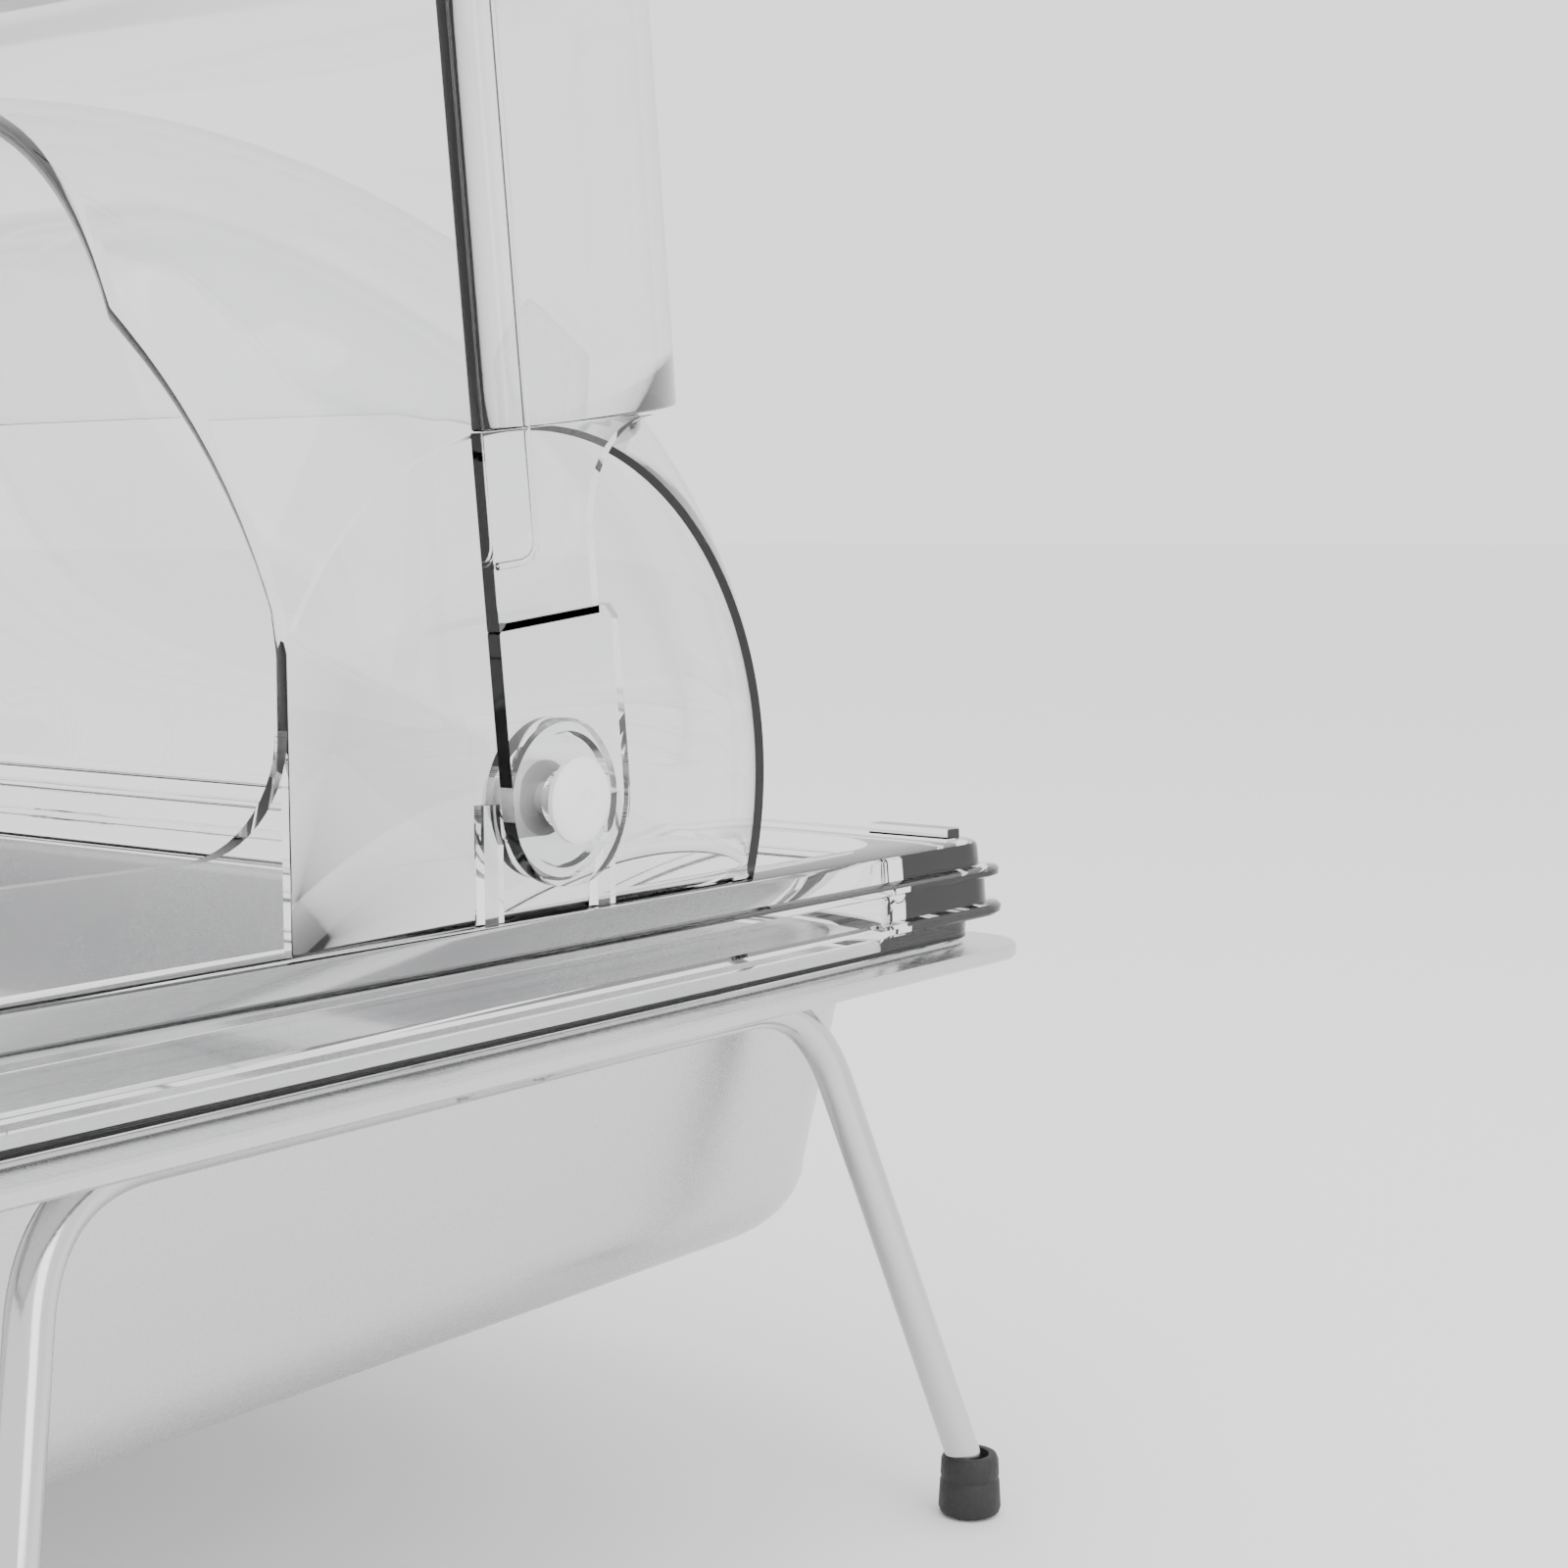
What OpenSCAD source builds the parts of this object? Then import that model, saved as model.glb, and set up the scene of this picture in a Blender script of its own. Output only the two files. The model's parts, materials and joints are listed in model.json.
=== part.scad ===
/* [Pans] */
// Length of the water pan's flange
flange_l = 530; // [500:5:560]
// Width of the water pan's flange
flange_w = 325; // [315:5:345]
// Height of the flange above the table
flange_z = 130; // [120:1:150]
// Depth of the water pan below its flange
water_depth = 70; // [68:1:90]
// Depth of the food pan below its flange
food_depth = 60; // [40:1:62]
// Sheet thickness of both pans
sheet = 1.2; // [0.8:0.1:1.5]

/* [Cover] */
// Height of the clear ring that carries the cover
ring_h = 22.8; // [22:0.2:26]
// Height of the lid's axis above the flange
axis_h = 46; // [44:1:52]
// Outer radius of the fixed hood about the axis
hood_r = 141; // [138:1:142]
// Wall thickness of the clear mouldings
wall = 3; // [2.5:0.5:3.5]
// Distance of the hood's mouth in front of the axis
mouth_y = 62; // [56:1:64]

/* [Lid] */
// Height of the lid's roof above the axis when shut
lid_rise = 134; // [132:1:138]
// Where the lid's rim starts, measured from the axis
lid_start = 68; // [66:1:72]
// Where the lid's front wall ends, measured from the axis
lid_end = 160; // [154:1:161]
// How far the lid's bottom edge lies under the axis
lid_drop = 16; // [14:1:17]
// Forward lean of the open lid
lid_lean = 6; // [3:1:10]

/* [Stand] */
// Diameter of the wire legs
rod_d = 8; // [7:0.5:9]
// Height of a rubber foot
foot_h = 14; // [12:1:18]

/* [Hidden] */

half_l = flange_l / 2;
half_w = flange_w / 2;
ring_z = flange_z + sheet;
ring_top = ring_z + ring_h;
axis_z = flange_z + axis_h;
hood_end = half_l - 9.5;
hood_mid = half_l - 178.5;
hood_reach = 193;
lid_reach = 177;
ear_out = hood_mid + lid_reach;
ear_in = ear_out - wall;
pin_r = 3;
bar_x = half_l - 24;
bar_z = flange_z - 8;
bend_y = 103;
foot_x = half_l;
foot_y = 134;
steps = 18;
clear_blue = [0.86, 0.9, 0.92, 0.35];

// A plate with rounded corners, centred on the origin
module plate(l, w, r, h) {
    linear_extrude(h) {
        square([l - 2 * r, w], center = true);
        square([l, w - 2 * r], center = true);
        for (x = [-1, 1], y = [-1, 1])
            translate([x * (l / 2 - r), y * (w / 2 - r)]) circle(r, $fn = 48);
    }
}

// A flat frame with rounded corners
module frame_plate(l, w, r, h, in_l, in_w, in_r) {
    difference() {
        plate(l, w, r, h);
        translate([0, 0, -1]) plate(in_l, in_w, in_r, h + 2);
    }
}

// The solid inside of a pan: walls that lean in and a rounded foot
module pan_body(l, w, depth, lean, r) {
    hull() {
        translate([0, 0, -1]) plate(l, w, r, 1);
        translate([0, 0, -depth + 18]) plate(l - 2 * lean, w - 2 * lean, r, 1);
        translate([0, 0, -depth + 6]) plate(l - 2 * lean - 8, w - 2 * lean - 8, r - 4, 1);
        translate([0, 0, -depth]) plate(l - 2 * lean - 30, w - 2 * lean - 30, r - 15, 1);
    }
}

// A pan: flange with a turned-down lip, and a hollow body set in from the flange's edge
module pan(l, w, depth, lip, end_in, side_in, lean, r) {
    in_l = l - 2 * end_in - 2 * sheet;
    in_w = w - 2 * side_in - 2 * sheet;
    difference() {
        union() {
            plate(l, w, 14, sheet);
            translate([0, 0, -lip]) frame_plate(l, w, 14, lip + sheet, l - 2.4, w - 2.4, 12.8);
            pan_body(l - 2 * end_in, w - 2 * side_in, depth, lean, r);
        }
        translate([0, 0, sheet]) pan_body(in_l, in_w, depth, lean, r - sheet);
        translate([0, 0, -1]) plate(in_l, in_w, r - sheet, 5);
    }
}

module water_pan() {
    color("silver") translate([0, 0, flange_z - sheet])
        pan(flange_l, flange_w, water_depth - sheet, 2.2, 32, 12, 9, 32);
}

module food_pan() {
    color("gainsboro") translate([0, 0, flange_z])
        pan(flange_l - 18, flange_w - 18, food_depth, 0, 30, 8, 8, 30);
}

// Points of half a leg frame: from the middle of the bar, round the bend, down to the foot
leg_dir = [foot_x - bar_x, foot_y - bend_y, foot_h - 5 - bar_z];
function bend(t) = let (u = 1 - t)
    [bar_x, bend_y - 16 * u * u, bar_z] + t * t * 16 * leg_dir / norm(leg_dir);
half_frame = concat([[bar_x, 40, bar_z]], [for (i = [0:6]) bend(i / 6)],
    [[foot_x, foot_y, foot_h - 5]]);
function mirrored(p) = [for (i = [len(p) - 1:-1:0]) [p[i][0], -p[i][1], p[i][2]]];

// A round rod swept along points: one ring of corners at each point, joined ring to ring
module rod(path, d) {
    n = 20;
    last = len(path) - 1;
    function along(i) = let (v = path[min(i + 1, last)] - path[max(i - 1, 0)]) v / norm(v);
    function out(i) = let (v = cross([1, 0, 0], along(i))) v / norm(v);
    points = [for (i = [0:last], k = [0:n - 1])
        let (a = 360 * k / n, u = out(i), w = cross(along(i), u))
            path[i] + d / 2 * (cos(a) * u + sin(a) * w)];
    sides = [for (i = [0:last - 1], k = [0:n - 1])
        let (m = (k + 1) % n) [i * n + k, (i + 1) * n + k, (i + 1) * n + m, i * n + m]];
    polyhedron(points, concat([[for (k = [0:n - 1]) k]], sides,
        [[for (k = [n - 1:-1:0]) last * n + k]]));
}

module leg_frame(side) {
    color("lightgray") mirror([side < 0 ? 1 : 0, 0, 0])
        rod(concat(mirrored(half_frame), half_frame), rod_d);
}

module weld_beads(side) {
    color("gray") difference() {
        for (y = [-11, 11])
            translate([side * (bar_x + 3), y, flange_z - 2 * sheet - 3.4]) {
                sphere(r = 3.6, $fn = 32);
                cylinder(r = 2.4, h = 4.6, $fn = 32);
            }
        translate([side * bar_x, -30, bar_z]) rotate([-90, 0, 0])
            cylinder(d = rod_d, h = 60, $fn = 48);
    }
}

// A rubber cap on a leg's end, standing on the table
module foot(x, y) {
    color("black") difference() {
        union() {
            translate([x, y, 0]) cylinder(r1 = 7.2, r2 = 6.8, h = foot_h, $fn = 48);
        }
        translate([x, y, foot_h - 7]) cylinder(d = rod_d + 3, h = foot_h, $fn = 48);
    }
}

// The clear ring: five stepped bands, the low end and front walls, and a deck for the hood
module cover_ring() {
    band = [[0, 5.6, 9], [5.6, 2.6, 2.5], [8.2, 6.6, 5.5], [14.8, 2, 3], [16.8, ring_h - 16.8, 7]];
    color(clear_blue) {
        for (b = band) translate([0, 0, ring_z + b[0]])
            frame_plate(flange_l - 2 * b[2], flange_w - 2 * b[2], 14, b[1],
                flange_l - 40, flange_w - 56, 20);
        for (side = [-1, 1]) translate([side * (hood_end - wall / 2), 0, ring_top])
            rotate([90, 0, 90]) linear_extrude(wall, center = true) {
                translate([-138, 0]) square([138 - mouth_y, 18]);
                difference() {
                    translate([-mouth_y - 20, 18]) square([20, 20]);
                    translate([-mouth_y - 20, 38]) circle(r = 20, $fn = 48);
                }
            }
        translate([-hood_end, -138, ring_top]) cube([2 * hood_end, wall, 18]);
    }
}

module corner_stops() {
    color(clear_blue) for (x = [-1, 1], y = [-1, 1]) translate([x * 240, y * 147, ring_top])
        linear_extrude(2.4) translate([-11, -2.5]) square([22, 5]);
}

// Radius of a clear shell at distance x from the middle, for a roof of radius rise
function shell_r(x, rise, reach) =
    x <= hood_mid ? rise : rise * sqrt(max(0, 1 - pow((x - hood_mid) / reach, 2)));
function side_x(i, end) = hood_mid + (end - hood_mid) * sin(90 * i / steps);
function half_outline(end, rise, reach) =
    [for (i = [0:steps]) [shell_r(side_x(i, end), rise, reach), side_x(i, end)]];
function flip_outline(p) = [for (i = [len(p) - 1:-1:0]) [p[i][0], -p[i][1]]];

// The half profile of the hood, radius against length, closed on the axis
module hood_outline(end, rise) {
    right = half_outline(end, rise, hood_reach);
    polygon(concat([[0, end]], [for (i = [steps:-1:0]) right[i]],
        [for (i = [0:steps]) [right[i][0], -right[i][1]]], [[0, -end]]));
}

module hood_shell() {
    big = 2 * hood_r;
    color(clear_blue) difference() {
        translate([0, 0, axis_z]) rotate([0, 90, 0]) rotate([0, 0, 90])
            rotate_extrude($fn = 120) difference() {
                hood_outline(hood_end, hood_r);
                hood_outline(hood_end - wall, hood_r - wall);
            }
        translate([-flange_l, -big, ring_top - 2 * big]) cube([2 * flange_l, 2 * big, 2 * big]);
        translate([-flange_l, -mouth_y - big, ring_top - 1]) cube([2 * flange_l, big, big]);
        translate([0, -520, axis_z + 40]) cylinder(r = 505, h = big, $fn = 96);
        for (side = [-1, 1]) translate([side * (hood_end - wall / 2), 0, axis_z])
            rotate([0, 90, 0]) cylinder(r = pin_r, h = 3 * wall, center = true, $fn = 48);
    }
}

// A clear pedestal on the ring with the round boss that the pin sits in
module pivot_post(side) {
    boss_l = ear_in - 0.3 - hood_end;
    color(clear_blue) mirror([side < 0 ? 1 : 0, 0, 0]) translate([hood_end, 0, 0])
        difference() {
            union() {
                translate([0, 0, axis_z]) rotate([0, 90, 0]) cylinder(r = 15, h = boss_l, $fn = 64);
                for (y = [-18, 13]) translate([0, y, ring_top]) cube([2.4, 5, axis_z - ring_top]);
                translate([0, -13, ring_top]) cube([1.6, 26, axis_z - ring_top]);
            }
            translate([-1, 0, axis_z]) rotate([0, 90, 0]) cylinder(r = pin_r, h = 20, $fn = 48);
        }
}

module pivot_pin(side) {
    color("whitesmoke") mirror([side < 0 ? 1 : 0, 0, 0])
        translate([hood_end - wall - 3, 0, axis_z]) rotate([0, 90, 0]) {
            cylinder(r = 7, h = 3, $fn = 48);
            cylinder(r = pin_r, h = ear_out + 0.4 - hood_end + wall + 3, $fn = 48);
        }
}

module pin_cap(side) {
    color("white") mirror([side < 0 ? 1 : 0, 0, 0])
        translate([ear_out + 0.4, 0, axis_z]) rotate([0, 90, 0]) {
            cylinder(r = 8, h = 1.6, $fn = 48);
            translate([0, 0, 1.6]) cylinder(r1 = 8, r2 = 5.5, h = 1.4, $fn = 48);
        }
}

// Turns the lid from its own frame, where it is shut and its roof is up, to its open rest place
module lid_place() {
    translate([0, 0, axis_z]) rotate([lid_lean - 90, 0, 0]) children();
}

// The arch of the lid across its length: ends, round shoulders and roof
module lid_arch(end, rise, reach) {
    right = [for (i = [0:steps]) [hood_mid + reach * sin(90 * i / steps), rise * cos(90 * i / steps)]];
    left = flip_outline([for (p = right) [p[1], p[0]]]);
    polygon(concat([[end, -lid_drop]], [for (i = [steps:-1:0]) right[i]],
        [for (i = [len(left) - 1:-1:0]) [left[i][1], left[i][0]]], [[-end, -lid_drop]]));
}

module lid_shell() {
    depth = lid_end - lid_start;
    color(clear_blue) lid_place() {
        translate([0, -lid_start, 0]) rotate([90, 0, 0]) difference() {
            linear_extrude(depth) lid_arch(ear_out, lid_rise, lid_reach);
            translate([0, 0, -1]) linear_extrude(depth - wall + 1) difference() {
                lid_arch(ear_in, lid_rise - wall, lid_reach - wall);
            }
            translate([-ear_in, -lid_drop - 1, -1]) cube([2 * ear_in, 4, depth - wall + 1]);
        }
        for (side = [-1, 1]) translate([side * (ear_out - wall / 2) - wall / 2, -lid_start, -lid_drop])
            cube([wall, lid_start - 33, lid_drop + 11]);
    }
}

// The ear that hangs the lid on its pin
module lid_ear(side) {
    color(clear_blue) lid_place() translate([side * (ear_out - wall / 2), 0, 0])
        rotate([0, 90, 0]) difference() {
            union() {
                cylinder(r = lid_drop, h = wall, center = true, $fn = 64);
                translate([-lid_drop, -33, -wall / 2]) cube([2 * lid_drop, 33, wall]);
            }
            cylinder(r = pin_r + 0.05, h = 4 * wall, center = true, $fn = 48);
        }
}

module lid_handle() {
    color(clear_blue) lid_place() translate([-55, -lid_end - 16, -2]) cube([110, 16, 5]);
}

water_pan();
food_pan();
leg_frame(1);  // leg_frame_right
leg_frame(-1);  // leg_frame_left
weld_beads(1);  // weld_beads_right
weld_beads(-1);  // weld_beads_left
foot(foot_x, -foot_y);  // foot_front_right
foot(foot_x, foot_y);  // foot_rear_right
foot(-foot_x, -foot_y);  // foot_front_left
foot(-foot_x, foot_y);  // foot_rear_left
cover_ring();
corner_stops();
hood_shell();
pivot_post(1);  // pivot_post_right
pivot_post(-1);  // pivot_post_left
pivot_pin(1);  // pivot_pin_right
pivot_pin(-1);  // pivot_pin_left
pin_cap(1);  // pin_cap_right
pin_cap(-1);  // pin_cap_left
lid_shell();
lid_ear(1);  // lid_ear_right
lid_ear(-1);  // lid_ear_left
lid_handle();
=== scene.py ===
"""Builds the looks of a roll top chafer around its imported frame: pans, clear cover, lid and wire stand."""

import json
import logging
import math
from dataclasses import dataclass, field
from enum import Enum

import bpy
import numpy as np
from mathutils import Matrix, Vector


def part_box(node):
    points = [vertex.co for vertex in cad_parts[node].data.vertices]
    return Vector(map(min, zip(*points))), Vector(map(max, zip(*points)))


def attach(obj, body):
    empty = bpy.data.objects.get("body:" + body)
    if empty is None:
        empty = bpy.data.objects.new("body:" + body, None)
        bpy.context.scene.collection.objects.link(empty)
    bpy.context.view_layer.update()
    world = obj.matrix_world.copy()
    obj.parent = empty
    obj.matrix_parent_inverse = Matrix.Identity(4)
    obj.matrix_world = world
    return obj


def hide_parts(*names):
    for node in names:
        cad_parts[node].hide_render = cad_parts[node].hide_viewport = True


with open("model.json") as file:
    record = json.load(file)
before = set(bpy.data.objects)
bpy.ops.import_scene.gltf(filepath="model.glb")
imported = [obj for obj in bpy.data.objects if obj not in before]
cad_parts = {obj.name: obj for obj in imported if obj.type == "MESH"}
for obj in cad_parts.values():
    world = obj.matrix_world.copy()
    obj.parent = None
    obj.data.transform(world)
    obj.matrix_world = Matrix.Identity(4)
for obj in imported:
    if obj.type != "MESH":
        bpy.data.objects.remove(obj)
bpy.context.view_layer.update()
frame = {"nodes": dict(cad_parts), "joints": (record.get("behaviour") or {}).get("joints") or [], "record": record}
LOG = logging.getLogger("chafer")
MM = 0.001
TURN = 2 * math.pi
CORNER_POINTS = 14
Faces = list[tuple[int, ...]]
Shape = tuple[np.ndarray, Faces]


class Body(Enum):
    """The rigid bodies that a piece can ride on."""

    STAND = "stand"
    TRAY = "food_tray"
    COVER = "cover"
    LID = "lid"


class Slot(Enum):
    """The record's material slots."""

    PAN = "pan_steel"
    FOOD_PAN = "food_pan_steel"
    LEG = "leg_steel"
    WELD = "weld_steel"
    FOOT = "foot_rubber"
    PIN = "pin_nylon"
    CLEAR = "clear_cover"


# ---------------------------------------------------------------- node groups and finishes


def add(tree: bpy.types.NodeTree, kind: str, **sockets: object) -> bpy.types.Node:
    """Adds a node and sets its inputs.

    Args:
        tree: the node tree it goes into.
        kind: the node's type name.
        sockets: input values, with underscores for spaces in their names.

    Returns:
        The new node.
    """
    node = tree.nodes.new(kind)
    for name, value in sockets.items():
        node.inputs[name.replace("_", " ")].default_value = value
    return node


def surface_group() -> bpy.types.NodeTree:
    """Builds the shared group for worn surfaces: stretched grain, cloudy smudges and a bump normal.

    Returns:
        A group with inputs Stretch, Grain, Low, High and Bump, and outputs Roughness, Shade and Normal.
    """
    tree = bpy.data.node_groups.new("worn_surface", "ShaderNodeTree")
    inside, outside = tree.nodes.new("NodeGroupInput"), tree.nodes.new("NodeGroupOutput")
    scalar = "NodeSocketFloat"
    vector = "NodeSocketVector"
    for name, kind in (("Stretch", vector), ("Grain", scalar), ("Low", scalar),
                       ("High", scalar), ("Bump", scalar)):
        tree.interface.new_socket(name, in_out="INPUT", socket_type=kind)
    for name, kind in (("Roughness", scalar), ("Shade", scalar), ("Normal", vector)):
        tree.interface.new_socket(name, in_out="OUTPUT", socket_type=kind)
    place = tree.nodes.new("ShaderNodeTexCoord")
    stretch = add(tree, "ShaderNodeVectorMath")
    stretch.operation = "MULTIPLY"
    grain = add(tree, "ShaderNodeTexNoise", Detail=4.0, Roughness=0.6)
    smudge = add(tree, "ShaderNodeTexNoise", Scale=14.0, Detail=3.0, Roughness=0.55)
    blend = add(tree, "ShaderNodeMath")
    blend.operation = "ADD"
    rough = add(tree, "ShaderNodeMapRange", From_Min=0.7, From_Max=1.3)
    shade = add(tree, "ShaderNodeMapRange", From_Min=0.3, From_Max=0.7, To_Min=0.93, To_Max=1.0)
    bump = add(tree, "ShaderNodeBump", Distance=0.0004)
    link = tree.links.new
    link(place.outputs["Object"], stretch.inputs[0])
    link(inside.outputs["Stretch"], stretch.inputs[1])
    link(stretch.outputs[0], grain.inputs["Vector"])
    link(inside.outputs["Grain"], grain.inputs["Scale"])
    link(place.outputs["Object"], smudge.inputs["Vector"])
    link(grain.outputs["Fac"], blend.inputs[0])
    link(smudge.outputs["Fac"], blend.inputs[1])
    link(blend.outputs[0], rough.inputs["Value"])
    link(inside.outputs["Low"], rough.inputs["To Min"])
    link(inside.outputs["High"], rough.inputs["To Max"])
    link(smudge.outputs["Fac"], shade.inputs["Value"])
    link(grain.outputs["Fac"], bump.inputs["Height"])
    link(inside.outputs["Bump"], bump.inputs["Strength"])
    link(rough.outputs["Result"], outside.inputs["Roughness"])
    link(shade.outputs["Result"], outside.inputs["Shade"])
    link(bump.outputs["Normal"], outside.inputs["Normal"])
    return tree


@dataclass(frozen=True)
class Finish:
    """One finish: a Principled shader whose colour, gloss and bump come from the worn surface group."""

    name: str
    colour: tuple[float, float, float]
    metallic: float = 0.0
    low: float = 0.2
    high: float = 0.4
    stretch: tuple[float, float, float] = (1.0, 1.0, 1.0)
    grain: float = 200.0
    bump: float = 0.1
    transmission: float = 0.0
    ior: float = 1.5
    coat: float = 0.0

    def build(self, group: bpy.types.NodeTree) -> bpy.types.Material:
        """Makes the material.

        Args:
            group: the shared worn surface group.

        Returns:
            The finished node material.
        """
        material = bpy.data.materials.new(self.name)
        material.use_nodes = True
        tree = material.node_tree
        shader = tree.nodes["Principled BSDF"]
        worn = tree.nodes.new("ShaderNodeGroup")
        worn.node_tree = group
        for name, value in (("Stretch", self.stretch), ("Grain", self.grain), ("Low", self.low),
                            ("High", self.high), ("Bump", self.bump)):
            worn.inputs[name].default_value = value
        tint = tree.nodes.new("ShaderNodeMix")
        tint.data_type = "RGBA"
        tint.inputs["A"].default_value = (*(c * 0.8 for c in self.colour), 1)
        tint.inputs["B"].default_value = (*self.colour, 1)
        for name, value in (("Metallic", self.metallic), ("IOR", self.ior), ("Coat Weight", self.coat),
                            ("Transmission Weight", self.transmission)):
            shader.inputs[name].default_value = value
        link = tree.links.new
        link(worn.outputs["Shade"], tint.inputs["Factor"])
        link(tint.outputs["Result"], shader.inputs["Base Color"])
        link(worn.outputs["Roughness"], shader.inputs["Roughness"])
        link(worn.outputs["Normal"], shader.inputs["Normal"])
        if self.transmission:
            self.clear_shadow(tree, shader)
        return material

    def clear_shadow(self, tree: bpy.types.NodeTree, shader: bpy.types.Node) -> None:
        """Lets most light through a clear moulding's shadow by lowering its alpha for shadow rays.

        Args:
            tree: the material's node tree.
            shader: its Principled shader.
        """
        rays = tree.nodes.new("ShaderNodeLightPath")
        alpha = add(tree, "ShaderNodeMapRange", To_Min=1.0, To_Max=0.12)
        tree.links.new(rays.outputs["Is Shadow Ray"], alpha.inputs["Value"])
        tree.links.new(alpha.outputs["Result"], shader.inputs["Alpha"])


FINISHES: dict[Slot, Finish] = {
    Slot.PAN: Finish("satin_steel", (0.62, 0.62, 0.625), 1.0, 0.2, 0.34, (1, 30, 30), 60.0, 0.05),
    Slot.FOOD_PAN: Finish("inner_steel", (0.55, 0.55, 0.56), 1.0, 0.2, 0.3, (30, 1, 30), 60.0, 0.05),
    Slot.LEG: Finish("bright_wire", (0.60, 0.60, 0.605), 1.0, 0.12, 0.24, (20, 1, 20), 80.0, 0.03),
    Slot.WELD: Finish("raw_weld", (0.42, 0.40, 0.38), 1.0, 0.22, 0.45, (1, 1, 1), 500.0, 0.8),
    Slot.FOOT: Finish("moulded_rubber", (0.012, 0.012, 0.013), 0.0, 0.5, 0.7, (1, 1, 1), 900.0, 0.4),
    Slot.PIN: Finish("natural_nylon", (0.86, 0.86, 0.85), 0.0, 0.28, 0.4, (1, 1, 1), 500.0, 0.08),
    Slot.CLEAR: Finish("clear_polycarbonate", (0.975, 0.98, 0.98), 0.0, 0.0, 0.03, (1, 1, 1), 20.0, 0.01,
                       1.0, 1.42),
}


# ---------------------------------------------------------------- shapes


def mesh_object(name: str, points: np.ndarray, faces: Faces) -> bpy.types.Object:
    """Makes a smooth-shaded object from points in millimetres, with its faces turned outwards.

    Args:
        name: the piece's name.
        points: an array of n by 3 positions.
        faces: tuples of point indices.

    Returns:
        The object, linked to the scene, at the origin.
    """
    mesh = bpy.data.meshes.new(name)
    mesh.from_pydata((points * MM).tolist(), [], faces)
    mesh.validate()
    made = bpy.data.objects.new(name, mesh)
    bpy.context.scene.collection.objects.link(made)
    bpy.ops.object.select_all(action="DESELECT")
    bpy.context.view_layer.objects.active = made
    made.select_set(True)
    bpy.ops.object.mode_set(mode="EDIT")
    bpy.ops.mesh.select_all(action="SELECT")
    bpy.ops.mesh.remove_doubles(threshold=1e-6)
    bpy.ops.mesh.normals_make_consistent(inside=False)
    bpy.ops.object.mode_set(mode="OBJECT")
    bpy.ops.object.shade_smooth_by_angle(angle=math.radians(35))
    made.select_set(False)
    return made


def grid_faces(rows: int, columns: int, wrap: bool, start: int = 0) -> Faces:
    """Quads of a grid of points laid out row after row.

    Args:
        rows: number of rows.
        columns: number of points in a row.
        wrap: whether the last point of a row joins the first.
        start: index of the grid's first point.

    Returns:
        The quads, as tuples of four indices.
    """
    across = np.arange(columns if wrap else columns - 1)
    row, column = np.meshgrid(np.arange(rows - 1), across, indexing="ij")
    after = (column + 1) % columns
    quads = np.stack([row * columns + column, row * columns + after,
                      (row + 1) * columns + after, (row + 1) * columns + column], -1) + start
    return [tuple(q) for q in quads.reshape(-1, 4).tolist()]


def end_faces(rows: int, columns: int) -> Faces:
    """The two end faces of rings of points laid out row after row.

    Args:
        rows: number of rings.
        columns: number of points in a ring.

    Returns:
        The first ring's face, turned round, and the last ring's face.
    """
    last = columns * (rows - 1)
    return [tuple(range(columns))[::-1], tuple(range(last, last + columns))]


def rounded_rectangle(length: float, width: float, radius: float, corner: int = CORNER_POINTS) -> np.ndarray:
    """Outline of a rectangle with round corners: each corner is a quarter circle about its own centre.

    Args:
        length: size along X.
        width: size along Y.
        radius: corner radius.
        corner: points in each corner.

    Returns:
        An array of 4 * corner by 2 points, anticlockwise.
    """
    angle = np.linspace(0, math.pi / 2, corner)
    quarters = [angle + q * math.pi / 2 for q in range(4)]
    turns = [np.stack([np.cos(a), np.sin(a)], -1) * radius for a in quarters]
    signs = ((1, 1), (-1, 1), (-1, -1), (1, -1))
    return np.concatenate([turns[q] + np.array([signs[q][0] * (length / 2 - radius),
                                                signs[q][1] * (width / 2 - radius)]) for q in range(4)])


def stacked(levels: list[tuple[float, float, float, float]], closed: bool) -> Shape:
    """A surface through rounded rectangles, one for each level.

    Args:
        levels: length, width, corner radius and height of each rectangle.
        closed: True joins the last level to the first, as in a ring; False fills both ends.

    Returns:
        The points and the faces.
    """
    count = 4 * CORNER_POINTS
    rings = [np.column_stack([rounded_rectangle(length, width, radius), np.full(count, height)])
             for length, width, radius, height in levels]
    if closed:
        rings.append(rings[0])
    faces = grid_faces(len(rings), count, True)
    if not closed:
        faces += end_faces(len(rings), count)
    return np.concatenate(rings), faces


def lathe(profile: list[tuple[float, float]], centre: tuple[float, float, float], axis: str,
          side: float = 1, steps: int = 64) -> Shape:
    """A solid of revolution: each profile point is turned about the axis at its own radius.

    Args:
        profile: pairs of distance along the axis and radius, from one pole to the other.
        centre: a point on the axis.
        axis: "x" or "z".
        side: -1 mirrors the profile along the axis.
        steps: points in each circle.

    Returns:
        The points and the faces.
    """
    along, radius = np.array(profile, float).T
    angle = np.arange(steps) * TURN / steps
    ring = np.stack([np.cos(angle), np.sin(angle)], -1)[None] * radius[:, None, None]
    run = np.broadcast_to(along[:, None, None] * side, (len(profile), steps, 1))
    order = [run, ring[..., :1], ring[..., 1:]] if axis == "x" else [ring[..., :1], ring[..., 1:], run]
    points = np.concatenate(order, -1).reshape(-1, 3) + np.array(centre)
    return points, grid_faces(len(profile), steps, True) + end_faces(len(profile), steps)


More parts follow.
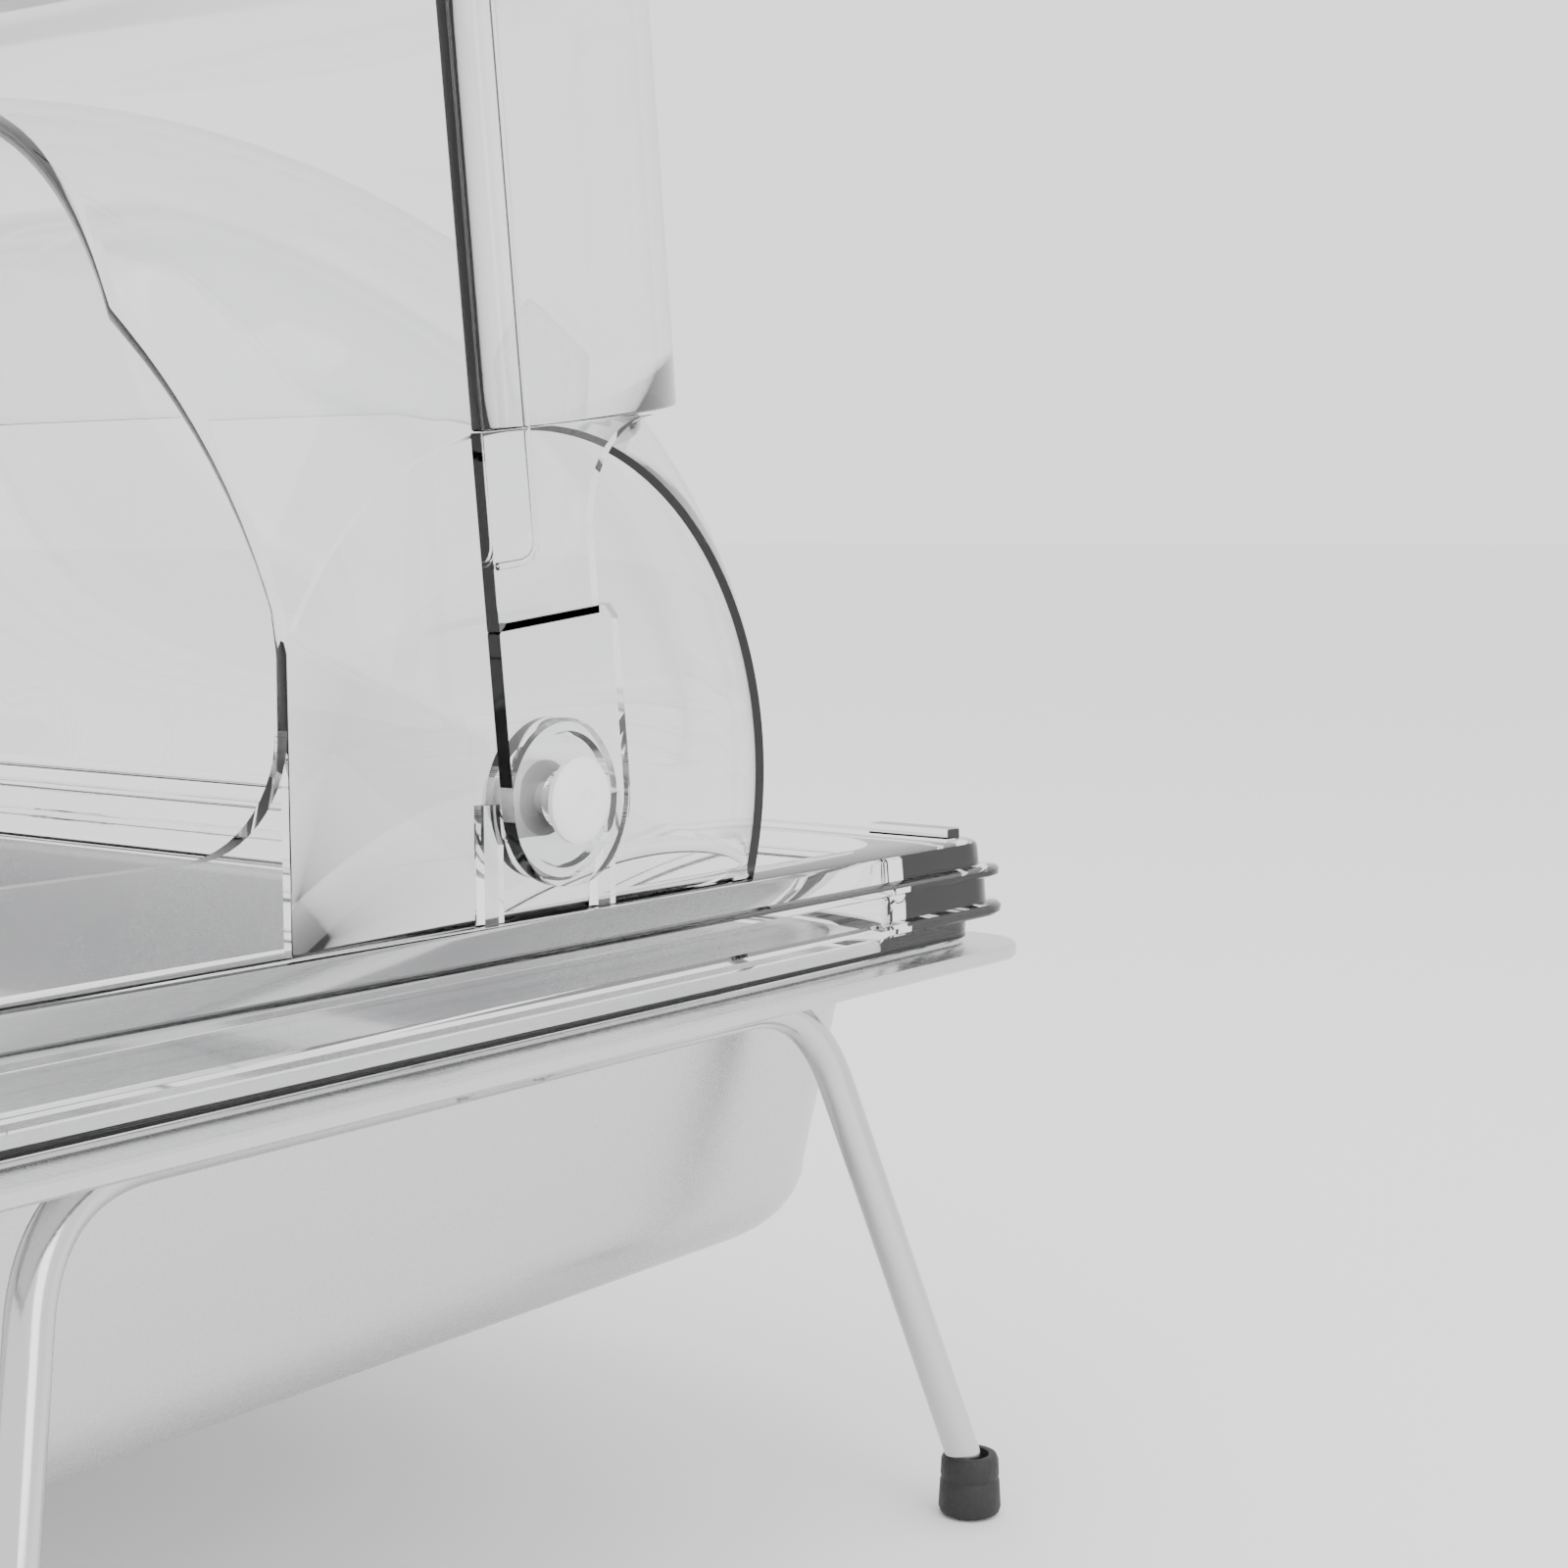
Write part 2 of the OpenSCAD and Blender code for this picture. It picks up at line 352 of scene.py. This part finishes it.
def tube(path: np.ndarray, radius: float, steps: int = 24) -> Shape:
    """A round rod along a path: a circle square to the path's direction at every point.

    Args:
        path: n by 3 points.
        radius: the rod's radius.
        steps: points in each circle.

    Returns:
        The points and the faces.
    """
    along = np.gradient(path, axis=0)
    along /= np.linalg.norm(along, axis=1, keepdims=True)
    out = np.cross(np.array([1.0, 0.02, 0.01]), along)
    out /= np.linalg.norm(out, axis=1, keepdims=True)
    third = np.cross(along, out)
    angle = np.arange(steps) * TURN / steps
    circle = out[:, None] * np.cos(angle)[None, :, None] + third[:, None] * np.sin(angle)[None, :, None]
    points = (path[:, None] + radius * circle).reshape(-1, 3)
    return points, grid_faces(len(path), steps, True) + end_faces(len(path), steps)


def plate(outline: np.ndarray, low: float, high: float) -> Shape:
    """A flat plate square to X: an outline in Y and Z, given a thickness along X.

    Args:
        outline: n by 2 points.
        low: X of one face.
        high: X of the other face.

    Returns:
        The points and the faces.
    """
    count = len(outline)
    points = np.concatenate([np.column_stack([np.full(count, x), outline]) for x in (low, high)])
    return points, grid_faces(2, count, True) + end_faces(2, count)


def joined(parts: list[Shape]) -> Shape:
    """Puts several shapes into one, and moves each one's face indices past the points before it.

    Args:
        parts: the shapes.

    Returns:
        The points and the faces of them all.
    """
    points = []
    faces = []
    start = 0
    for some, quads in parts:
        points.append(some)
        faces += [tuple(i + start for i in face) for face in quads]
        start += len(some)
    return np.concatenate(points), faces


def thicken(piece: bpy.types.Object, wall: float, edge: float) -> bpy.types.Object:
    """Gives a sheet its wall, inwards, and a small round on its edges, as applied modifiers.

    Args:
        piece: the sheet.
        wall: thickness in millimetres.
        edge: edge round in millimetres.

    Returns:
        The same object.
    """
    solid = piece.modifiers.new("wall", "SOLIDIFY")
    solid.thickness, solid.offset = wall * MM, -1
    soft = piece.modifiers.new("edge", "BEVEL")
    soft.width, soft.segments, soft.limit_method = edge * MM, 2, "ANGLE"
    soft.angle_limit = math.radians(50)
    bpy.context.view_layer.objects.active = piece
    for name in ("wall", "edge"):
        bpy.ops.object.modifier_apply(modifier=name)
    return piece


# ---------------------------------------------------------------- sub-assemblies


@dataclass
class Workshop:
    """Holds the materials, and hands finished pieces to the frame."""

    materials: dict[Slot, bpy.types.Material] = field(default_factory=dict)

    def __post_init__(self) -> None:
        """Builds the shared group and every finish."""
        group = surface_group()
        self.materials = {slot: finish.build(group) for slot, finish in FINISHES.items()}

    def place(self, piece: bpy.types.Object, body: Body, slot: Slot, *nodes: str) -> bpy.types.Object:
        """Dresses a piece, seats it on its body and lets it stand for CAD nodes.

        Args:
            piece: the finished piece.
            body: the body it rides on.
            slot: its material slot.
            nodes: the CAD nodes that it replaces.

        Returns:
            The same piece.
        """
        piece.data.materials.clear()
        piece.data.materials.append(self.materials[slot])
        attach(piece, body.value)
        if nodes:
            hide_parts(*nodes)
        LOG.info("%s rides on %s", piece.name, body.value)
        return piece

    def dress_frame(self) -> None:
        """Gives every CAD node the material of its own slot."""
        slots = {row["node"]: Slot(row["material_slot"]) for row in frame["record"]["subparts"]}
        for name, node in frame["nodes"].items():
            node.data.materials.clear()
            node.data.materials.append(self.materials[slots[name]])


def millimetres(node: str) -> tuple[np.ndarray, np.ndarray]:
    """Lowest and highest corners of a CAD node, in millimetres."""
    low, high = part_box(node)
    return np.array(low) / MM, np.array(high) / MM


def span(node: str) -> tuple[float, float]:
    """Nearest and farthest distance of a CAD node from the middle plane, in millimetres."""
    low, high = millimetres(node)
    return min(abs(low[0]), abs(high[0])), max(abs(low[0]), abs(high[0]))


@dataclass
class Pans:
    """The two nested steel pans."""

    shop: Workshop
    sheet: float = 1.2
    flange_round: float = 14.0
    body_round: float = 31.0
    foot_round: float = 18.0
    neck: float = 4.0
    draft: float = 2.0

    def pan(self, name: str, slot: Slot, body: Body, end_in: float, side_in: float,
            lean: float, lip: float) -> None:
        """Builds one pan: rolled lip, flange, leaning walls and a deep round foot, inside and out.

        Args:
            name: the CAD node that it replaces.
            slot: its material slot.
            body: the body it rides on.
            end_in: how far the body is set in from the flange's ends.
            side_in: how far it is set in from the flange's sides.
            lean: how far the walls lean in over the depth.
            lip: how far the lip turns down.
        """
        low, high = millimetres(name)
        long, wide, top, floor = high[0] - low[0], high[1] - low[1], high[2], low[2]
        r = self.flange_round
        s = self.sheet
        depth = top - floor
        turn = np.linspace(0, math.pi / 2, 8)

        def wall(inner: float) -> list[tuple[float, float, float, float]]:
            """Levels of one wall, straight from its neck and then a quarter circle into the floor.

            Args:
                inner: how far this side of the sheet is inside the outer one.

            Returns:
                The length, width, corner radius and height of each level, from the top down.
            """
            foot = self.foot_round - inner
            corner = self.body_round - inner
            body_l, body_w = long - 2 * end_in - 2 * inner, wide - 2 * side_in - 2 * inner
            drop = depth - foot - inner - self.neck
            rows = [(body_l, body_w, corner, top - self.neck - s)]
            for a in turn:
                back = foot * (1 - math.cos(a))
                draw = 2 * (lean - self.draft + back)
                height = top - self.neck - drop - foot * math.sin(a)
                rows.append((body_l - draw, body_w - draw, corner - 0.5 * back, height))
            return rows

        mouth_round = self.body_round + 1
        mouth = [(long - 2 * end_in + 2 * k, wide - 2 * side_in + 2 * k, mouth_round + k, z) for k, z in
                 ((3.4, top - s), (1.0, top - s - 0.9), (0.2, top - s - 2.6))]
        outer = [(long - 2.4, wide - 2.4, r - 1.2, z) for z in (top - s - lip, top - s)]
        edge = [(long - 1.2, wide - 1.2, r - 0.6, top - s - lip - 0.1), (long, wide, r, top - s - lip + 0.5),
                (long, wide, r, top - 0.8), (long - 1.0, wide - 1.0, r - 0.4, top - 0.1),
                (long - 2.4, wide - 2.4, r - 1, top)]
        inner_mouth = [(l - 2 * s, w - 2 * s, c - s, z + s) for l, w, c, z in mouth]
        levels = wall(0)[::-1] + mouth[::-1] + outer[::-1] + edge + inner_mouth + wall(s)
        self.shop.place(mesh_object(name + "_sheet", *stacked(levels, False)), body, slot, name)

    def build(self) -> None:
        """Builds the water pan and the food pan that hangs in it."""
        self.pan("water_pan", Slot.PAN, Body.STAND, 32, 12, 9, 2.2)
        self.pan("food_pan", Slot.FOOD_PAN, Body.TRAY, 30, 8, 8, 0)


@dataclass
class Stand:
    """The wire leg frames, their welds and the rubber feet."""

    shop: Workshop
    bar_in: float = 24.0
    bend_y: float = 103.0
    rod: float = 4.0
    bend_reach: float = 22.0
    foot_y: float = 134.0
    bead_y: float = 11.0

    def leg_path(self, side: float) -> np.ndarray:
        """Path of one frame: foot, quadratic round at the bend, straight bar, and the same mirrored.

        Args:
            side: 1 for the right end, -1 for the left.

        Returns:
            The path's points.
        """
        half_l = millimetres("water_pan")[1][0]
        rod_top = millimetres("leg_frame_right")[1][2]
        bar = np.array([half_l - self.bar_in, 0, rod_top - self.rod])
        bend = bar + [0, self.bend_y, 0]
        foot = np.array([half_l, self.foot_y, 9.0])
        down = (foot - bend) / np.linalg.norm(foot - bend)
        t = np.linspace(0, 1, 17)[:, None]
        start, end = bend - [0, self.bend_reach, 0], bend + down * self.bend_reach
        turn = (1 - t) ** 2 * start + 2 * t * (1 - t) * bend + t ** 2 * end
        half = np.concatenate([np.linspace(bar, start, 6)[:-1], turn, np.linspace(end, foot, 6)[1:]])
        path = np.concatenate([(half * [1, -1, 1])[::-1], half[1:]])
        return path * [side, 1, 1]

    def build(self) -> None:
        """Builds both frames, the weld beads and the four feet."""
        for word, side in (("right", 1.0), ("left", -1.0)):
            wire = mesh_object(f"leg_wire_{word}", *tube(self.leg_path(side), self.rod))
            self.shop.place(wire, Body.STAND, Slot.LEG, f"leg_frame_{word}")
            self.weld(word)
            for end in ("front", "rear"):
                self.foot(f"foot_{end}_{word}")

    def weld(self, word: str) -> None:
        """Builds the two beads of one end: drops with a ripple of sines over their sphere.

        Args:
            word: right or left.
        """
        low, high = millimetres(f"weld_beads_{word}")
        middle = (low + high) / 2
        turn = np.linspace(0, math.pi, 22)
        drop = [(5.0 * (1 - math.cos(a)) - 5.2, max(0.05, 3.9 * math.sin(a) ** 0.8)) for a in turn]
        parts = []
        for y in (-self.bead_y, self.bead_y):
            points, faces = lathe(drop, (middle[0], y, middle[2]), "z", steps=40)
            away = points - [middle[0], y, middle[2]]
            ripple = (1 + 0.07 * np.sin(away[:, 0] * 2.1 + y) * np.cos(away[:, 1] * 2.6)
                      + 0.05 * np.sin(away[:, 2] * 3.0))
            parts.append((away * ripple[:, None] + [middle[0], y, middle[2]], faces))
        drops = mesh_object(f"weld_drops_{word}", *joined(parts))
        self.shop.place(drops, Body.STAND, Slot.WELD, f"weld_beads_{word}")

    def foot(self, node: str) -> None:
        """Builds one foot: a cap with a rolled base, a waist line and a hollow for the wire.

        Args:
            node: the CAD node that it replaces.
        """
        low, high = millimetres(node)
        x, y = (low[:2] + high[:2]) / 2
        r, top = 7.2, high[2]
        shape = [(0, 0.05), (0, r - 1.4), (0.5, r - 0.4), (1.6, r),
                 (top * 0.55, r - 0.35), (top * 0.6, r - 0.7), (top * 0.65, r - 0.45),
                 (top - 1.4, r - 0.6), (top - 0.3, r - 1.1), (top, r - 1.8), (top - 0.2, 4.4),
                 (top - 4, 4.2), (top - 5, 0.05)]
        cap = mesh_object(node + "_cap", *lathe(shape, (x, y, 0), "z"))
        self.shop.place(cap, Body.STAND, Slot.FOOT, node)


@dataclass
class Cover:
    """The clear ring, the fixed hood and the pivots."""

    shop: Workshop
    wall: float = 3.0
    hood_r: float = 141.0
    reach: float = 193.0
    mouth_y: float = 62.0
    mouth_arc: float = 505.0
    mouth_back: float = 520.0
    axis: float = field(init=False)
    ring_top: float = field(init=False)
    end: float = field(init=False)
    middle: float = field(init=False)

    def __post_init__(self) -> None:
        """Reads the axis, the ring's top and the hood's ends from the frame."""
        self.axis = frame["joints"][-1]["pos_m"][2] / MM
        self.ring_top = millimetres("corner_stops")[0][2]
        self.end = millimetres("hood_shell")[1][0]
        self.middle = self.end + 9.5 - 178.5

    def ring(self) -> None:
        """Builds the ring: a stepped band whose profile runs round a rounded rectangle, with low walls."""
        low, high = millimetres("water_pan")
        long, wide = high[0] - low[0], high[1] - low[1]
        base = millimetres("cover_ring")[0][2]
        steps = ((0, 9.6), (0.4, 9), (5.2, 9), (5.8, 3.2), (6.4, 2.6), (7.6, 2.5), (8.3, 3.2),
                 (8.6, 5.3), (14.2, 5.6), (14.7, 3.6), (15.1, 3), (16.3, 3), (16.8, 3.6), (17.2, 6.6),
                 (21.6, 7), (22.4, 7.4), (22.8, 8.4))
        band = [(long - 2 * i, wide - 2 * i, 15 - i * 0.3, base + z) for z, i in steps]
        hole = [(long - 40, wide - 56, 20, base + z) for z in (22.8, 0)]
        parts = [stacked(band + hole, True)]
        front, tall, turn = 138.0, 18.0, np.linspace(-math.pi / 2, 0, 14)
        fillet = np.column_stack([-self.mouth_y - 20 + 20 * np.cos(turn), 38 + 20 * np.sin(turn)])
        outline = np.concatenate([[[-front, 0], [-self.mouth_y, 0]], [[-self.mouth_y, 38.0]],
                                  fillet[::-1][1:], [[-front, tall]]]) + [0, self.ring_top]
        for side in (1, -1):
            parts.append(plate(outline, side * (self.end - self.wall), side * self.end))
        sill = np.array([[-front, 0], [-front + self.wall, 0], [-front + self.wall, tall], [-front, tall]])
        parts.append(plate(sill + [0, self.ring_top], -self.end + self.wall, self.end - self.wall))
        self.shop.place(mesh_object("clear_ring", *joined(parts)), Body.COVER, Slot.CLEAR, "cover_ring")

    def hood(self) -> None:
        """Builds the hood: at each place along X a circle arc of radius r about the lid's axis.

        The radius is the roof's, times the root of one less the squared share of the reach, and the arc
        runs from the ring behind the axis, over the top, to the mouth, which curves back at the middle.
        """
        share = math.asin((self.end - self.middle) / self.reach)
        turn = np.linspace(0, share, 34)
        right = np.column_stack([self.middle + self.reach * np.sin(turn), self.hood_r * np.cos(turn)])
        flat = np.column_stack([np.linspace(-self.middle, self.middle, 14), np.full(14, self.hood_r)])[1:-1]
        line = np.concatenate([right[::-1] * [-1, 1], flat, right])
        x, r = line[:, :1], line[:, 1:]
        base = self.ring_top - self.axis
        front = np.maximum(-self.mouth_y, -self.mouth_back + np.sqrt(self.mouth_arc ** 2 - x ** 2))
        first, last = np.arcsin(base / r), np.arccos(front / r)
        angle = first + (last - first) * np.linspace(0, 1, 72)[None]
        across = np.broadcast_to(x, angle.shape)
        points = np.stack([across, r * np.cos(angle), self.axis + r * np.sin(angle)], -1)
        parts = [(points.reshape(-1, 3), grid_faces(len(line), 72, False))]
        rim = points[-1][:, 1:]
        corners = np.array([[-self.mouth_y, self.ring_top]])
        for side in (1, -1):
            disc = np.concatenate([rim, corners])
            flat_end = np.column_stack([np.full(len(disc), side * self.end), disc])
            parts.append((flat_end, [tuple(range(len(disc)))]))
        shell = thicken(mesh_object("clear_hood", *joined(parts)), self.wall, 0.5)
        self.shop.place(shell, Body.COVER, Slot.CLEAR, "hood_shell")

    def pivots(self) -> None:
        """Builds each post's round boss and ribs, the pin's head and its domed cap."""
        for word, side in (("right", 1), ("left", -1)):
            far = span(f"pivot_post_{word}")[1]
            near = self.end + 0.02
            depth = far - near
            boss = [(0, 3.0), (0, 15), (depth - 0.7, 15), (depth, 14.3), (depth, 12.6),
                    (depth - 1.2, 12), (depth - 1.2, 5.4),
                    (depth - 0.2, 5), (depth - 0.2, 3.0), (0, 3.0)]
            parts = [lathe(boss, (side * near, 0, self.axis), "x", side)]
            for y, wide in ((-18.0, 5.0), (13.0, 5.0)):
                rib = np.array([[y, self.ring_top], [y + wide, self.ring_top],
                                [y + wide, self.axis], [y, self.axis]])
                parts.append(plate(rib, side * near, side * (near + 2.4)))
            post = mesh_object(f"clear_post_{word}", *joined(parts))
            self.shop.place(post, Body.COVER, Slot.CLEAR, f"pivot_post_{word}")
            start = span(f"pin_cap_{word}")[0]
            dome = [(0, 0.05), (0, 7.6), (0.4, 8), (1.4, 8), (2.0, 7.4), (2.6, 6.0),
                    (2.9, 4.0), (3.0, 2.2), (2.5, 1.6), (2.5, 0.05)]
            cap = mesh_object(f"nylon_cap_{word}", *lathe(dome, (side * start, 0, self.axis), "x", side))
            self.shop.place(cap, Body.COVER, Slot.PIN, f"pin_cap_{word}")

    def build(self) -> None:
        """Builds the ring, the hood and the pivots."""
        self.ring()
        self.hood()
        self.pivots()


@dataclass
class Lid:
    """The clear lid, open at rest: round-shouldered arch, front wall, necks, ears and handle."""

    shop: Workshop
    wall: float = 3.0
    rise: float = 134.0
    reach: float = 177.0
    drop: float = 16.0
    start: float = 68.0
    finish: float = 160.0
    corner: float = 11.0
    lean: float = 6.0
    middle: float = 86.5

    def opened(self, points: np.ndarray) -> np.ndarray:
        """Turns points from the shut lid's frame, with p forwards and q up, to the open place.

        Args:
            points: n by 3 positions of X, p in front of the axis, and q above it.

        Returns:
            The same points in the row frame.
        """
        lean = math.radians(self.lean)
        x, p, q = points.T
        y = q * math.cos(lean) - p * math.sin(lean)
        z = p * math.cos(lean) + q * math.sin(lean) + frame["joints"][-1]["pos_m"][2] / MM
        return np.column_stack([x, y, z])

    def arch(self, inset: float) -> np.ndarray:
        """Arch outline of X and q: a quarter ellipse at each end, a flat roof, and straight legs.

        Args:
            inset: how far the outline is drawn in.

        Returns:
            The points from the left leg's foot to the right leg's foot.
        """
        turn = np.linspace(0, math.pi / 2, 40)
        reach = self.reach - inset
        rise = self.rise - inset
        right = np.column_stack([self.middle + reach * np.sin(turn), rise * np.cos(turn)])
        roof = np.column_stack([np.linspace(-self.middle, self.middle, 12), np.full(12, rise)])[1:-1]
        foot = np.array([[self.middle + self.reach - inset, -self.drop]])
        return np.concatenate([foot * [-1, 1], right[::-1] * [-1, 1], roof, right, foot])

    def shell(self) -> None:
        """Builds the shell: the arch drawn forwards, a quarter round of 11 mm, and the flat front wall."""
        turn = np.linspace(0, math.pi / 2, 9)
        rows = [(0.0, p) for p in np.linspace(self.start, self.finish - self.corner, 8)]
        corner = self.corner
        rows += [(corner * (1 - math.cos(a)), self.finish - corner + corner * math.sin(a)) for a in turn[1:]]
        rings = [np.insert(self.arch(inset), 1, p, axis=1) for inset, p in rows]
        count = len(rings[0])
        points = np.concatenate(rings)
        last = count * (len(rings) - 1)
        faces = grid_faces(len(rings), count, False) + [tuple(range(last, last + count))]
        shell = thicken(mesh_object("clear_lid", self.opened(points), faces), self.wall, 0.5)
        self.shop.place(shell, Body.LID, Slot.CLEAR, "lid_shell")

    def ears(self) -> None:
        """Builds each end's neck, with its concave shoulder, and the ear, round about the pin."""
        out = self.middle + self.reach
        turn = np.linspace(0, math.pi / 2, 12)
        shoulder = np.column_stack([self.start - 0.2 - 20 + 20 * np.sin(turn), 31 - 20 * np.cos(turn)])
        neck = np.concatenate([[[self.start - 0.2, -self.drop], [33.0, -self.drop], [33.0, 11.0]], shoulder])
        round_foot = np.linspace(math.pi / 2, 3 * math.pi / 2, 28)
        ear = np.concatenate([[[32.6, -self.drop], [34.4, -14.0], [34.4, 14.0], [32.0, self.drop]],
                              self.drop * np.column_stack([np.cos(round_foot), np.sin(round_foot)])])
        for word, side in (("right", 1), ("left", -1)):
            parts = []
            for outline in (neck, ear):
                points, faces = plate(outline, side * (out - self.wall), side * out)
                parts.append((self.opened(points), faces))
            plates = mesh_object(f"clear_ear_{word}", *joined(parts))
            self.shop.place(plates, Body.LID, Slot.CLEAR, f"lid_ear_{word}")
            line = np.array([[p, -5.0] for p in np.linspace(150, 48, 30)]
                            + [[46.5, -5.4], [45.2, -6.6], [44.6, -8.4]]
                            + [[44.5, q] for q in (-10, -12, -14, -15.4)])
            path = np.column_stack([np.full(len(line), side * (out + 0.1)), line])
            groove = mesh_object(f"lid_bead_{word}", *tube(self.opened(path), 0.7, 12))
            self.shop.place(groove, Body.LID, Slot.CLEAR)

    def handle(self) -> None:
        """Builds the handle: a lip with round ends that stands out from the front wall's foot."""
        turn = np.linspace(-math.pi / 2, math.pi / 2, 14)
        end = np.column_stack([45 + 10 * np.cos(turn), 6 + 10 * np.sin(turn)])
        line = np.concatenate([end, (end * [-1, 1])[::-1]])
        outer = [(0.0, -2.0), (0.4, -1.4), (0.4, 2.0), (0.0, 2.8)]
        count = len(line)
        rings = [np.column_stack([line[:, 0] * (1 + k * 0.02), line[:, 1] + self.finish, np.full(count, q)])
                 for k, q in outer]
        faces = grid_faces(len(rings), count, True)
        faces += end_faces(len(rings), count)
        grip = mesh_object("clear_handle", self.opened(np.concatenate(rings)), faces)
        self.shop.place(grip, Body.LID, Slot.CLEAR, "lid_handle")

    def build(self) -> None:
        """Builds the shell, the ears and the handle."""
        self.shell()
        self.ears()
        self.handle()


@dataclass
class Studio:
    """The pale floor, the soft lights and the camera."""

    eye: tuple[float, float, float] = (0.5717, -0.3504, 0.2241)
    look: tuple[float, float, float] = (-0.59374, 0.79883, -0.09668)
    right: tuple[float, float, float] = (0.8026, 0.59652, 0.0)
    lens: float = 58.76
    floor_drop: float = 0.3
    floor_reach: float = 60000.0
    surround: float = 1.7

    def camera(self) -> None:
        """Stands the camera at its viewing angle and makes it the scene's."""
        data = bpy.data.cameras.new("camera")
        data.lens, data.sensor_width, data.clip_start = self.lens, 36.0, 0.01
        seat = bpy.data.objects.new("camera", data)
        bpy.context.scene.collection.objects.link(seat)
        look, right = Vector(self.look).normalized(), Vector(self.right).normalized()
        up = right.cross(look)
        turn = Matrix((right, up, -look)).transposed().to_4x4()
        seat.matrix_world = Matrix.Translation(Vector(self.eye)) @ turn
        bpy.context.scene.camera = seat

    def floor(self) -> None:
        """Lays a plain pale floor under the feet."""
        size = self.floor_reach
        low = -self.floor_drop
        corners = np.array([[-size, -size, low], [size, -size, low], [size, size, low], [-size, size, low]])
        ground = mesh_object("floor", corners, [(0, 1, 2, 3)])
        material = bpy.data.materials.new("pale_floor")
        material.use_nodes = True
        shader = material.node_tree.nodes["Principled BSDF"]
        shader.inputs["Base Color"].default_value = (0.93, 0.93, 0.93, 1)
        shader.inputs["Roughness"].default_value = 0.9
        ground.data.materials.append(material)

    def lights(self) -> None:
        """Sets a white surround, a broad top light and a dim side light."""
        world = bpy.data.worlds.new("studio")
        bpy.context.scene.world = world
        world.use_nodes = True
        world.node_tree.nodes["Background"].inputs["Color"].default_value = (1, 1, 1, 1)
        world.node_tree.nodes["Background"].inputs["Strength"].default_value = self.surround
        for name, place, aim, size, power in (("top", (0.3, -0.4, 1.8), (0, 0, 0.1), 1.6, 14.0),
                                              ("side", (1.6, -0.2, 0.7), (0, 0, 0.1), 0.9, 6.0)):
            lamp = bpy.data.lights.new(name, "AREA")
            lamp.size, lamp.energy = size, power
            seat = bpy.data.objects.new(name, lamp)
            seat.location = place
            seat.rotation_euler = (Vector(aim) - Vector(place)).to_track_quat("-Z", "Y").to_euler()
            bpy.context.scene.collection.objects.link(seat)

    def build(self) -> None:
        """Builds camera, floor and lights."""
        self.camera()
        self.floor()
        self.lights()


def main() -> None:
    """Builds the object piece by piece."""
    logging.basicConfig(level=logging.INFO, format="%(message)s")
    Studio().build()
    shop = Workshop()
    shop.dress_frame()
    for part in (Pans(shop), Stand(shop), Cover(shop), Lid(shop)):
        part.build()


if __name__ == "__main__":
    main()
